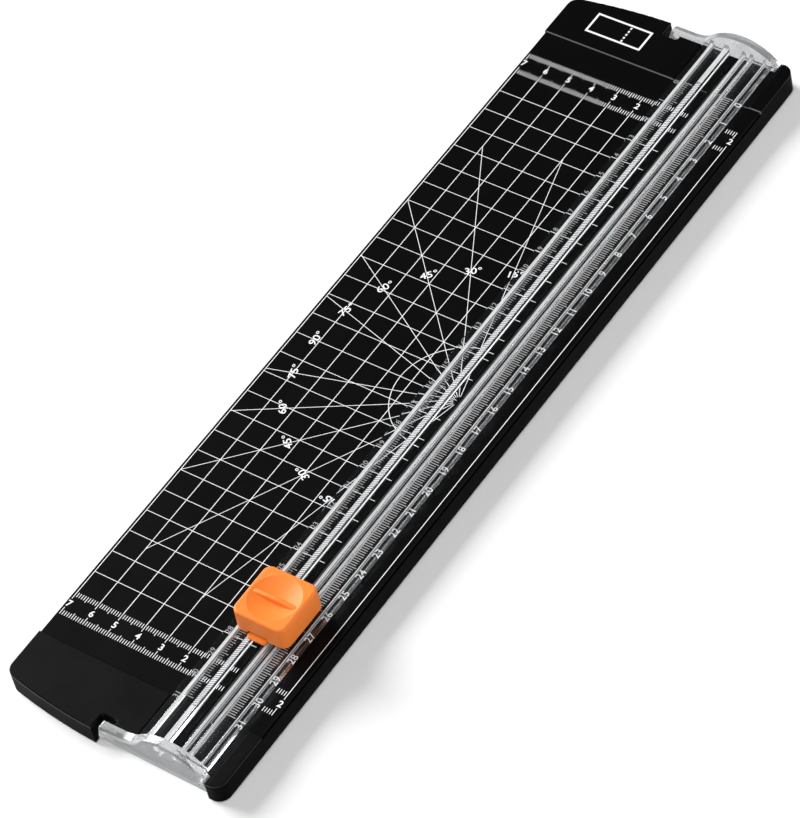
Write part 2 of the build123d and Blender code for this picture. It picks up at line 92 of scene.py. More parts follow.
LEFT_RULER = (-9.25, 0.3, (1.7, 2.1, 2.8))  # foot of the ticks, their width and reaches
RIGHT_RULER = (7.8, 0.34, (2.6, 2.9, 3.3))
GUIDE_RIB = (-4.75, -2.95)                  # the rib with the teeth, where a milky film paints its highlight
GUIDE_TOP = 3.1
TOOTH_PITCH = 0.9
TOOTH_ANGLE = 28
TRACK_X, TRACK_HALF, TRACK_LINE = 5.25, 0.5, 0.16


# ---- sizes and colours a user would change ---------------------------------------
def length(name, text, value):
    return FloatProperty(name=name, description=text, default=value, unit="LENGTH", precision=5)


def colour(name, text, value):
    return FloatVectorProperty(name=name, description=text, default=value, subtype="COLOR",
                               size=3, min=0.0, max=1.0)


class TrimmerPrint(bpy.types.PropertyGroup):
    line_width: length("Line width", "Width of the long printed lines", 0.27 * MM)
    cross_width: length("Cross line width", "Width of the lines across", 0.22 * MM)
    tick_width: length("Tick width", "Width of the millimetre ticks", 0.25 * MM)
    ink: length("Ink thickness", "How far the ink stands above the plate", 0.02 * MM)
    number_height: length("Number height", "Height of the centimetre numbers", 2.7 * MM)
    label_height: length("Label height", "Height of the angle labels", 2.95 * MM)
    rail_number_height: length("Rail number height", "Height of the numbers on the rail",
                               2.8 * MM)
    arc_radius: length("Arc radius", "Radius of the protractor's arc", 23.4 * MM)


class TrimmerColours(bpy.types.PropertyGroup):
    plate: colour("Plate", "Satin black of the plates and end blocks", (0.0022, 0.0022, 0.0024))
    # a little darker than the plate: painted shade on the frame's side faces
    frame_side: colour("Frame", "Grained black of the frame", (0.0015, 0.0015, 0.0017))
    strip: colour("Cutting strip", "Soft black of the cutting strip", (0.003, 0.003, 0.0033))
    cap: colour("Cap", "Orange of the press cap", (0.94, 0.235, 0.035))
    ink: colour("Ink", "White of the printing", (0.86, 0.87, 0.88))
    clear: colour("Clear plastic", "Tint of the clear rail", (0.93, 0.95, 0.965))
    clear_end: colour("Clear ends", "Tint of the rail's end caps", (0.62, 0.625, 0.63))
    # painted highlight: light grey of the milky films on the rail's ribs
    frost: colour("Frosted plastic", "Tint of the rail's bright ribs", (0.66, 0.66, 0.665))


class TrimmerStage(bpy.types.PropertyGroup):
    floor: colour("Floor", "Colour of the studio floor", (0.9, 0.9, 0.9))
    floor_size: length("Floor size", "Side of the square floor", 8.0)
    key_power: FloatProperty(name="Key light", description="Power of the light on the left",
                             default=74.0, unit="POWER")
    fill_power: FloatProperty(name="Fill light", description="Power of the overhead light",
                              default=24.0, unit="POWER")
    glow_power: FloatProperty(name="Glow lights", description="Power of the lamps at the ends",
                              default=1.2, unit="POWER")
    sky: FloatProperty(name="Sky", description="Strength of the surrounding light",
                       default=0.05, min=0.0, max=2.0)


def print_sizes():
    return bpy.context.scene.trimmer_print


def colours():
    return bpy.context.scene.trimmer_colours


# ---- hand tools -------------------------------------------------------------------
def deselect():
    if bpy.context.mode != "OBJECT":
        bpy.ops.object.mode_set(mode="OBJECT")
    bpy.ops.object.select_all(action="DESELECT")


def pick(obj):
    deselect()
    obj.select_set(True)
    bpy.context.view_layer.objects.active = obj


def settle(obj):
    """Put the object's place into its mesh."""
    pick(obj)
    bpy.ops.object.transform_apply(location=True, rotation=True, scale=True)


def place(obj, x, y, z, turn=0.0):
    obj.location = (x, y, z)
    obj.rotation_euler = (0.0, 0.0, turn)
    settle(obj)
    return obj


def raise_faces(obj, height):
    """Extrude a flat shape upwards into a closed film."""
    pick(obj)
    bpy.ops.object.mode_set(mode="EDIT")
    bpy.ops.mesh.select_all(action="SELECT")
    bpy.ops.mesh.extrude_region_move(TRANSFORM_OT_translate={"value": (0, 0, height)})
    bpy.ops.mesh.select_all(action="SELECT")
    bpy.ops.mesh.normals_make_consistent(inside=False)
    bpy.ops.object.mode_set(mode="OBJECT")


def film_bar(x0, x1, y0, y1, z, height):
    """One printed bar between two corners, as a thin raised film rooted in its surface."""
    deselect()
    middle = ((x0 + x1) / 2, (y0 + y1) / 2, z - FILM_ROOT)
    bpy.ops.mesh.primitive_plane_add(size=1, location=middle)
    bar = bpy.context.object
    bar.scale = (x1 - x0, y1 - y0, 1)
    settle(bar)
    raise_faces(bar, height + FILM_ROOT)
    return bar


def half_ring(radius, width, centre, side, short, height, steps):
    """Raised half ring around a centre, cut off on the side given, short of it or past it."""
    deselect()
    inner = radius - width / 2
    bpy.ops.mesh.primitive_circle_add(vertices=steps, radius=inner, location=centre)
    ring = bpy.context.object
    bpy.ops.object.mode_set(mode="EDIT")
    bpy.ops.mesh.select_all(action="SELECT")
    bpy.ops.mesh.extrude_region_move(TRANSFORM_OT_translate={"value": (0, 0, 0)})
    grow = 1 + width / inner
    bpy.ops.transform.resize(value=(grow, grow, 1), center_override=centre)
    bpy.ops.mesh.select_all(action="SELECT")
    edge = Vector(centre) - Vector(side) * short
    bpy.ops.mesh.bisect(plane_co=edge, plane_no=side, clear_outer=True)
    bpy.ops.object.mode_set(mode="OBJECT")
    settle(ring)
    raise_faces(ring, height)
    return ring


def repeat(obj, count, dx=0.0, dy=0.0):
    """Copy a bar at equal steps."""
    pick(obj)
    bpy.ops.object.modifier_add(type="ARRAY")
    row = obj.modifiers[-1]
    row.use_relative_offset = False
    row.use_constant_offset = True
    row.constant_offset_displace = (dx, dy, 0)
    row.count = count
    bpy.ops.object.modifier_apply(modifier=row.name)
    return obj


def join(pieces, name):
    deselect()
    for piece in pieces:
        piece.select_set(True)
    bpy.context.view_layer.objects.active = pieces[0]
    bpy.ops.object.join()
    whole = bpy.context.object
    whole.name = name
    whole.data.name = name
    return whole


def number(text, x, y, z, size, turn=0.0, stretch=1.0, weight=0.025):
    """A printed number, centred on a place."""
    ink = print_sizes().ink
    deselect()
    bpy.ops.object.text_add(location=(0, 0, 0))
    words = bpy.context.object
    words.data.body = text
    words.data.size = size * 1.38
    words.data.align_x = "CENTER"
    words.data.resolution_u = 3
    words.data.extrude = ink / 2
    words.data.offset = size * weight
    bpy.ops.object.convert(target="MESH")
    words = bpy.context.object
    pick(words)
    bpy.ops.object.mode_set(mode="EDIT")
    bpy.ops.mesh.select_all(action="SELECT")
    bpy.ops.mesh.remove_doubles(threshold=0.000002)
    bpy.ops.mesh.normals_make_consistent(inside=False)
    bpy.ops.transform.resize(value=(stretch, 1, 1), center_override=(0, 0, 0))
    bpy.ops.object.mode_set(mode="OBJECT")
    shift = size / 2
    return place(words, x + shift * math.sin(turn), y - shift * math.cos(turn),
                 z + ink / 2, turn)


def finish_piece(obj, body, material):
    obj.data.materials.clear()
    obj.data.materials.append(material)
    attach(obj, body)


# ---- node groups --------------------------------------------------------------------
def group_socket(group, name, direction, kind, value=None):
    socket = group.interface.new_socket(name=name, in_out=direction, socket_type=kind)
    if value is not None:
        socket.default_value = value


def moulded_grain_group():
    """Fine moulded grain with soft patches of wear: a height and a roughness."""
    name = "moulded_grain"
    if name in bpy.data.node_groups:
        return bpy.data.node_groups[name]
    group = bpy.data.node_groups.new(name, "ShaderNodeTree")
    group_socket(group, "Vector", "INPUT", "NodeSocketVector")
    group_socket(group, "Grain Scale", "INPUT", "NodeSocketFloat", 6000.0)
    group_socket(group, "Patch Scale", "INPUT", "NodeSocketFloat", 60.0)
    group_socket(group, "Low Roughness", "INPUT", "NodeSocketFloat", 0.35)
    group_socket(group, "High Roughness", "INPUT", "NodeSocketFloat", 0.5)
    group_socket(group, "Height", "OUTPUT", "NodeSocketFloat")
    group_socket(group, "Roughness", "OUTPUT", "NodeSocketFloat")
    nodes, links = group.nodes, group.links
    inside = nodes.new("NodeGroupInput")
    outside = nodes.new("NodeGroupOutput")
    grain = nodes.new("ShaderNodeTexNoise")
    grain.inputs["Detail"].default_value = 3.0
    patch = nodes.new("ShaderNodeTexNoise")
    patch.inputs["Detail"].default_value = 5.0
    span = nodes.new("ShaderNodeMapRange")
    links.new(inside.outputs["Vector"], grain.inputs["Vector"])
    links.new(inside.outputs["Vector"], patch.inputs["Vector"])
    links.new(inside.outputs["Grain Scale"], grain.inputs["Scale"])
    links.new(inside.outputs["Patch Scale"], patch.inputs["Scale"])
    links.new(patch.outputs["Fac"], span.inputs["Value"])
    span.inputs["From Min"].default_value = 0.35
    span.inputs["From Max"].default_value = 0.65
    links.new(inside.outputs["Low Roughness"], span.inputs["To Min"])
    links.new(inside.outputs["High Roughness"], span.inputs["To Max"])
    links.new(grain.outputs["Fac"], outside.inputs["Height"])
    links.new(span.outputs["Result"], outside.inputs["Roughness"])
    return group


def tone_group():
    """A colour with faint lighter and darker clouds."""
    name = "clouded_tone"
    if name in bpy.data.node_groups:
        return bpy.data.node_groups[name]
    group = bpy.data.node_groups.new(name, "ShaderNodeTree")
    group_socket(group, "Vector", "INPUT", "NodeSocketVector")
    group_socket(group, "Dark", "INPUT", "NodeSocketColor")
    group_socket(group, "Light", "INPUT", "NodeSocketColor")
    group_socket(group, "Scale", "INPUT", "NodeSocketFloat", 40.0)
    group_socket(group, "Color", "OUTPUT", "NodeSocketColor")
    nodes, links = group.nodes, group.links
    inside = nodes.new("NodeGroupInput")
    outside = nodes.new("NodeGroupOutput")
    cloud = nodes.new("ShaderNodeTexNoise")
    cloud.inputs["Detail"].default_value = 4.0
    blend = nodes.new("ShaderNodeMix")
    blend.data_type = "RGBA"
    links.new(inside.outputs["Vector"], cloud.inputs["Vector"])
    links.new(inside.outputs["Scale"], cloud.inputs["Scale"])
    links.new(cloud.outputs["Fac"], blend.inputs["Factor"])
    links.new(inside.outputs["Dark"], blend.inputs["A"])
    links.new(inside.outputs["Light"], blend.inputs["B"])
    links.new(blend.outputs["Result"], outside.inputs["Color"])
    return group


# ---- materials ------------------------------------------------------------------------
def shade(rgb, factor):
    return tuple(min(1.0, channel * factor) for channel in rgb)


def new_material(name):
    material = bpy.data.materials.new(name)
    material.use_nodes = True
    nodes = material.node_tree.nodes
    shader = nodes["Principled BSDF"]
    place_node = nodes.new("ShaderNodeTexCoord")
    return material, shader, place_node


def add_tone(material, shader, coords, rgb, spread, scale):
    tree = material.node_tree
    tone = tree.nodes.new("ShaderNodeGroup")
    tone.node_tree = tone_group()
    tone.inputs["Dark"].default_value = (*shade(rgb, 1 - spread), 1)
    tone.inputs["Light"].default_value = (*shade(rgb, 1 + spread), 1)
    tone.inputs["Scale"].default_value = scale
    tree.links.new(coords.outputs["Object"], tone.inputs["Vector"])
    tree.links.new(tone.outputs["Color"], shader.inputs["Base Color"])


def add_grain(material, shader, coords, grain_scale, low, high, strength, distance):
    tree = material.node_tree
    grain = tree.nodes.new("ShaderNodeGroup")
    grain.node_tree = moulded_grain_group()
    grain.inputs["Grain Scale"].default_value = grain_scale
    grain.inputs["Low Roughness"].default_value = low
    grain.inputs["High Roughness"].default_value = high
    bump = tree.nodes.new("ShaderNodeBump")
    bump.inputs["Strength"].default_value = strength
    bump.inputs["Distance"].default_value = distance
    tree.links.new(coords.outputs["Object"], grain.inputs["Vector"])
    tree.links.new(grain.outputs["Roughness"], shader.inputs["Roughness"])
    tree.links.new(grain.outputs["Height"], bump.inputs["Height"])
    tree.links.new(bump.outputs["Normal"], shader.inputs["Normal"])


def moulded_plastic(name, rgb, grain_scale, low, high, strength, gleam=0.5):
    material, shader, coords = new_material(name)
    shader.inputs["Specular IOR Level"].default_value = gleam
    add_tone(material, shader, coords, rgb, 0.12, 35.0)
    add_grain(material, shader, coords, grain_scale, low, high, strength, 0.00002)
    return material


def add_edge_sheen(material, edge_y, width, rgb):
    """Painted highlight: a pale band in the colour where a moulded edge across the plate catches
    the light.
    """
    tree = material.node_tree
    shader = tree.nodes["Principled BSDF"]
    coords = tree.nodes["Texture Coordinate"]
    tone = shader.inputs["Base Color"].links[0].from_socket
    axes = tree.nodes.new("ShaderNodeSeparateXYZ")
    away = tree.nodes.new("ShaderNodeMath")
    away.operation = "COMPARE"
    away.inputs[1].default_value = edge_y
    away.inputs[2].default_value = width
    blend = tree.nodes.new("ShaderNodeMix")
    blend.data_type = "RGBA"
    blend.inputs["B"].default_value = (*rgb, 1)
    tree.links.new(coords.outputs["Object"], axes.inputs["Vector"])
    tree.links.new(axes.outputs["Y"], away.inputs[0])
    tree.links.new(away.outputs["Value"], blend.inputs["Factor"])
    tree.links.new(tone, blend.inputs["A"])
    tree.links.new(blend.outputs["Result"], shader.inputs["Base Color"])


def orange_plastic(name, rgb):
    material, shader, coords = new_material(name)
    shader.inputs["Specular IOR Level"].default_value = 0.25
    add_tone(material, shader, coords, rgb, 0.04, 50.0)
    add_grain(material, shader, coords, 5000.0, 0.42, 0.5, 0.12, 0.00002)
    shader.inputs["Subsurface Weight"].default_value = 0.15
    shader.inputs["Subsurface Radius"].default_value = (1.0, 0.35, 0.12)
    shader.inputs["Subsurface Scale"].default_value = 0.0015
    return material


def printed_ink(name, rgb):
    material, shader, coords = new_material(name)
    add_tone(material, shader, coords, rgb, 0.05, 900.0)
    add_grain(material, shader, coords, 9000.0, 0.45, 0.6, 0.05, 0.00001)
    return material


def steel(name, rgb, roughness):
    material, shader, coords = new_material(name)
    add_tone(material, shader, coords, rgb, 0.08, 300.0)
    add_grain(material, shader, coords, 3500.0, roughness * 0.8, roughness * 1.3, 0.08, 0.00001)
    shader.inputs["Metallic"].default_value = 1.0
    return material


def rubber(name, rgb):
    material, shader, coords = new_material(name)
    add_tone(material, shader, coords, rgb, 0.2, 120.0)
    add_grain(material, shader, coords, 2500.0, 0.75, 0.9, 0.3, 0.00004)
    return material


def clear_plastic(name, rgb, low, high, cloud=0.02):
    """Clear plastic that lets lamps through, with faint handling marks."""
    material, shader, coords = new_material(name)
    tree = material.node_tree
    add_tone(material, shader, coords, rgb, cloud, 130.0)
    add_grain(material, shader, coords, 400.0, low, high, 0.01, 0.00002)
    shader.inputs["Transmission Weight"].default_value = 1.0
    shader.inputs["IOR"].default_value = 1.49
    lamp = tree.nodes.new("ShaderNodeLightPath")
    through = tree.nodes.new("ShaderNodeBsdfTransparent")
    through.inputs["Color"].default_value = (0.9, 0.92, 0.93, 1)
    blend = tree.nodes.new("ShaderNodeMixShader")
    out = tree.nodes["Material Output"]
    tree.links.new(lamp.outputs["Is Shadow Ray"], blend.inputs["Fac"])
    tree.links.new(shader.outputs["BSDF"], blend.inputs[1])
    tree.links.new(through.outputs["BSDF"], blend.inputs[2])
    tree.links.new(blend.outputs["Shader"], out.inputs["Surface"])
    return material


def dress(node, material):
    """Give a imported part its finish."""
    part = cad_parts[node]
    part.data.materials.clear()
    part.data.materials.append(material)


def kept(name, maker):
    """The material of that name, made once."""
    return bpy.data.materials.get(name) or maker()


def ink_material(name="white_ink", strength=1.0):
    """The printing ink, or a fainter one of its own name; the white bars of painted glint on the
    rail's teeth take it too.
    """
    return kept(name, lambda: printed_ink(name, shade(colours().ink, strength)))


# ---- operators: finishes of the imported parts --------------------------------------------
class TRIMMER_OT_dress_base(bpy.types.Operator):
    """Finish the plates, end blocks, frame, cutting strip, feet and screws"""
    bl_idname = "trimmer.dress_base"
    bl_label = "Finish base"

    def execute(self, context):
        plate = moulded_plastic("satin_black_plate", colours().plate, 5200.0, 0.3, 0.34, 0.05,
                                0.07)
        block = moulded_plastic("satin_black_block", colours().plate, 4200.0, 0.36, 0.42, 0.1,
                                0.08)
        # the frame's black is darkened as painted shade on its side faces; its grain is real
        side = moulded_plastic("grained_shaded_black_frame", colours().frame_side, 3200.0, 0.42, 0.5,
                               0.25, 0.02)
        for node in ("ruled_plate", "side_plate"):
            dress(node, plate)
        dress("end_block_near", block)
        # The far block gets its own copy of the block finish: half the gleam, as painted shade
        # that keeps it darker than the near block, and a painted highlight along its step.
        far_block = moulded_plastic("satin_black_far_block", colours().plate, 4200.0,
                                    0.36, 0.42, 0.1, 0.04)
        add_edge_sheen(far_block, block_low.y, 0.18 * MM, (0.16, 0.16, 0.165))
        dress("end_block_far", far_block)
        dress("bottom_frame", side)
        dress("cutting_strip", moulded_plastic("soft_black_strip", colours().strip, 2600.0,
                                               0.5, 0.65, 0.2))
        foot = rubber("black_rubber", (0.03, 0.03, 0.031))
        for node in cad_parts:
            if node.startswith("rubber_foot"):
                dress(node, foot)
        zinc = steel("zinc_steel", (0.55, 0.56, 0.57), 0.35)
        for node in ("cover_screws", "shoe_screws", "holder_screws"):
            dress(node, zinc)
        return {"FINISHED"}


class TRIMMER_OT_dress_rail(bpy.types.Operator):
    """Finish the clear strips and end caps of the rail, and its hinge pins"""
    bl_idname = "trimmer.dress_rail"
    bl_label = "Finish rail"

    def execute(self, context):
        clear = clear_plastic("clear_strip", colours().clear, 0.01, 0.03)
        for node in ("rail_strip_left", "rail_strip_right"):
            dress(node, clear)
        end = clear_plastic("clear_end", colours().clear_end, 0.06, 0.16, 0.3)
        end.node_tree.nodes["Principled BSDF"].inputs["Transmission Weight"].default_value = 0.82
        for node in ("rail_end_near", "rail_end_far"):
            dress(node, end)
        pin = steel("pin_steel", (0.66, 0.66, 0.67), 0.22)
        for node in ("hinge_pin_near", "hinge_pin_far", "blade_axle"):
            dress(node, pin)
        return {"FINISHED"}


class TRIMMER_OT_dress_carriage(bpy.types.Operator):
    """Finish the sliding cap, its carriage, springs, shoes and blade"""
    bl_idname = "trimmer.dress_carriage"
    bl_label = "Finish cap and blade"

    def execute(self, context):
        dress("press_cap", orange_plastic("orange_cap", colours().cap))
        dress("carriage", orange_plastic("orange_carriage", shade(colours().cap, 0.92)))
        spring = steel("spring_wire", (0.5, 0.5, 0.52), 0.3)
        shoe = moulded_plastic("natural_acetal", (0.72, 0.71, 0.68), 3000.0, 0.35, 0.45, 0.1)
        for node in ("return_spring_near", "return_spring_far"):
            dress(node, spring)
        for node in ("glide_shoe_near", "glide_shoe_far"):
            dress(node, shoe)
        dress("blade_holder", moulded_plastic("grey_holder", (0.11, 0.11, 0.115), 3000.0,
                                              0.4, 0.5, 0.15))
        dress("blade", steel("ground_blade", (0.72, 0.73, 0.75), 0.16))
        hub = moulded_plastic("white_acetal", (0.8, 0.8, 0.78), 3000.0, 0.35, 0.45, 0.08)
        for node in ("blade_hub", "blade_washer"):
            dress(node, hub)
        return {"FINISHED"}


# ---- operators: printing on the base ------------------------------------------------------
def at_x(mm):
    return CUT_X + mm * MM


def at_y(mm):
    return MIDDLE_Y + mm * MM


def plate_bar(x0, x1, y0, y1, layer=1.0):
    """A printed bar on the plate, given in millimetres from the cutting line and middle."""
    return film_bar(at_x(x0), at_x(x1), at_y(y0), at_y(y1), PLATE_Z, print_sizes().ink * layer)


def line_along_y(x, y0, y1):
    half = print_sizes().line_width / MM / 2
    return plate_bar(x - half, x + half, y0, y1, 1.1)


def line_along_x(y, x0, x1):
    half = print_sizes().cross_width / MM / 2
    return plate_bar(x0, x1, y - half, y + half)


class TRIMMER_OT_print_grid(bpy.types.Operator):
    """Print the centimetre grid on the plates"""
    bl_idname = "trimmer.print_grid"
    bl_label = "Print grid"

    def execute(self, context):
        long_lines = repeat(line_along_y(GRID_LEFT, GRID_NEAR, GRID_FAR), 6, dx=10 * MM)
        side_line = line_along_y(GRID_SIDE, GRID_NEAR, GRID_FAR)
        cross = repeat(line_along_x(GRID_NEAR + 10, GRID_LEFT, -0.9), 26, dy=10 * MM)
        grid = join([long_lines, side_line, cross], "printed_grid")
        finish_piece(grid, "base", ink_material())
        return {"FINISHED"}


def margin_row(y, inward):
    """One row of millimetre ticks across the base; inward is the way the ticks point."""
    half = print_sizes().tick_width / MM / 2
    pieces = []
    for start, end in ((GRID_LEFT, -1), (GRID_SIDE - 4, GRID_SIDE)):
        near = 0.0
        for step, reach in zip(TICK_STEPS, TICK_REACHES):
            first = math.ceil(start / step) * step
            y0, y1 = sorted((y + inward * near, y + inward * reach))
            bar = plate_bar(first - half, first + half, y0, y1)
            pieces.append(repeat(bar, (end - first) // step + 1, dx=step * MM))
            near = reach
    return pieces


class TRIMMER_OT_print_margins(bpy.types.Operator):
    """Print the millimetre rows and the centimetre numbers at both ends of the plate"""
    bl_idname = "trimmer.print_margins"
    bl_label = "Print end scales"

    def execute(self, context):
        rows = []
        for y, inward in ((GRID_NEAR, -1), (-140.3, 1), (GRID_FAR, 1), (150.5, -1)):
            rows += margin_row(y, inward)
        ticks = join(rows, "printed_end_ticks")
        finish_piece(ticks, "base", ink_material())
        size = print_sizes().number_height
        digits = []
        for y in (-135.1, 145.7):
            for x in range(GRID_LEFT, -10, 10):
                nudge = 0.4 if x == GRID_LEFT else 0.2
                digits.append(number(str(abs(x) // 10), at_x(x + nudge), at_y(y), PLATE_Z, size))
            digits.append(number("2", at_x(GRID_SIDE), at_y(y), PLATE_Z, size))
        numbers = join(digits, "printed_end_numbers")
        finish_piece(numbers, "base", ink_material())
        return {"FINISHED"}


class TRIMMER_OT_print_protractor(bpy.types.Operator):
    """Print the protractor's rays, arc and angle labels"""
    bl_idname = "trimmer.print_protractor"
    bl_label = "Print protractor"

    def execute(self, context):
        sizes = print_sizes()
        half = sizes.cross_width / 2
        pieces = []
        for angle, reach in RAYS:
            for side in (1, -1):
                ray = film_bar(RAY_START * MM, reach * MM, -half, half, PLATE_Z, sizes.ink * 1.2)
                pieces.append(place(ray, CUT_X, MIDDLE_Y, 0, side * math.radians(90 + angle)))
        pieces.append(half_ring(sizes.arc_radius, sizes.line_width,
                                (at_x(ARC_X), MIDDLE_Y, PLATE_Z), (1, 0, 0), -ARC_END * MM,
                                sizes.ink * 1.3, 160))
        rays = join(pieces, "printed_protractor")
        finish_piece(rays, "base", ink_material())
        words = join(self.labels(sizes.label_height), "printed_angle_labels")
        finish_piece(words, "base", ink_material())
        return {"FINISHED"}

    def labels(self, size):
        """Angle labels on a ring around the centre, each set along its own ray."""
        words = []
        for angle, reach in LABELS:
            for side in (1, -1):
                if angle == 90 and side == -1:
                    continue
                a = math.radians(angle)
                turn = a if side > 0 else math.pi - a
                x = -reach * math.sin(a) + LABEL_SHIFT * math.cos(turn)
                y = side * reach * math.cos(a) + LABEL_SHIFT * math.sin(turn)
                words.append(number(str(angle) + "°", at_x(x), at_y(y), PLATE_Z, size, turn,
                                    LABEL_STRETCH, 0.012))
        return words


class TRIMMER_OT_print_mark(bpy.types.Operator):
    """Print a plain sheet-and-cut pictogram on the far end block"""
    bl_idname = "trimmer.print_mark"
    bl_label = "Print pictogram"

    def execute(self, context):
        half_long, half_wide, line = 12.0, 5.0, 0.8
        pieces = []
        for side in (-1, 1):
            x0, x1 = sorted((side * half_long, side * (half_long - line)))
            pieces.append(self.bar(x0, x1, -half_wide, half_wide))
            y0, y1 = sorted((side * half_wide, side * (half_wide - line)))
            pieces.append(self.bar(line - half_long, half_long - line, y0, y1))
        for step in range(5):
            start = 1.7 * step - 4.0
            pieces.append(self.bar(3.0, 3.7, start, start + 0.9))
        mark = join(pieces, "printed_pictogram")
        finish_piece(mark, "base", ink_material())
        return {"FINISHED"}

    def bar(self, x0, x1, y0, y1):
        """A bar of the pictogram, given from its middle."""
        x, y = MARK_PLACE
        return film_bar(at_x(x + x0), at_x(x + x1), at_y(y + y0), at_y(y + y1), BLOCK_Z,
                        print_sizes().ink)


# ---- operators: printing on the rail, and painted highlights on its ribs ----------------
def rail_film(x0, x1, y0, y1, z, height):
    """A bar on the rail, given in millimetres; y0 and y1 from the middle line."""
    return film_bar(at_x(x0), at_x(x1), at_y(y0), at_y(y1), z, height)


class TRIMMER_OT_print_rail(bpy.types.Operator):
    """Print the millimetre rows and the centimetre numbers on both sides of the rail"""
    bl_idname = "trimmer.print_rail"
    bl_label = "Print rail scales"

    def execute(self, context):
        sizes = print_sizes()
        rows = []
        y = RULER_START - RULER_LENGTH
        for foot, width, reaches in (LEFT_RULER, RIGHT_RULER):
            near = 0.0
            for step, reach in zip(TICK_STEPS, reaches):
                bar = rail_film(foot + near, foot + reach, y - width / 2, y + width / 2,
                                FLANGE_Z, sizes.ink)
                rows.append(repeat(bar, RULER_LENGTH // step + 1, dy=step * MM))
                near = reach
        ticks = join(rows, "rail_ticks")
        finish_piece(ticks, "rail", ink_material("pale_ink", 0.42))
        self.numbers("rail_numbers_right", 13.95, sizes.rail_number_height,
                     ink_material("soft_ink", 0.8))
        self.numbers("rail_numbers_left", -12.5, sizes.rail_number_height * 0.75,
                     ink_material("grey_ink", 0.34))
        return {"FINISHED"}

    def numbers(self, name, x, size, ink):
        digits = []
        for centimetre in range(RULER_LENGTH // 10 + 1):
            y = at_y(RULER_START - 10 * centimetre - 1.2)
            digits.append(number(str(centimetre), at_x(x), y, FLANGE_Z, size, math.pi / 2,
                                 weight=0.005))
        finish_piece(join(digits, name), "rail", ink)


# name, left and right side, height over the plate, and how milky the painted highlight is
RIB_FILMS = (
    ("rail_rib_1", -10.8, -9.3, 2.8, 0.85),
    ("rail_rib_3", 2.95, 4.25, 3.1, 0.55),
    ("rail_rib_4", 6.3, 7.65, 3.1, 0.4),
    ("rail_rib_5", 12.05, 12.75, 2.8, 0.6),
)


def frosted(name, rgb, highlight_strength):
    """Milky film of painted highlight: light grey with long streaks along the rail, where light
    shows bright in the clear plastic.
    """
    material, shader, coords = new_material(name)
    tree = material.node_tree
    stretch = tree.nodes.new("ShaderNodeMapping")
    stretch.inputs["Scale"].default_value = (1.0, 0.02, 1.0)
    streak = tree.nodes.new("ShaderNodeTexNoise")
    streak.inputs["Scale"].default_value = 5200.0
    streak.inputs["Detail"].default_value = 2.0
    span = tree.nodes.new("ShaderNodeMapRange")
    span.inputs["From Min"].default_value = 0.3
    span.inputs["From Max"].default_value = 0.7
    span.inputs["To Min"].default_value = highlight_strength * 0.6
    span.inputs["To Max"].default_value = min(1.0, highlight_strength * 1.2)
    tree.links.new(coords.outputs["Object"], stretch.inputs["Vector"])
    tree.links.new(stretch.outputs["Vector"], streak.inputs["Vector"])
    tree.links.new(streak.outputs["Fac"], span.inputs["Value"])
    tree.links.new(span.outputs["Result"], shader.inputs["Alpha"])
    add_tone(material, shader, coords, rgb, 0.1, 25.0)
    shader.inputs["Roughness"].default_value = 0.35
    return material


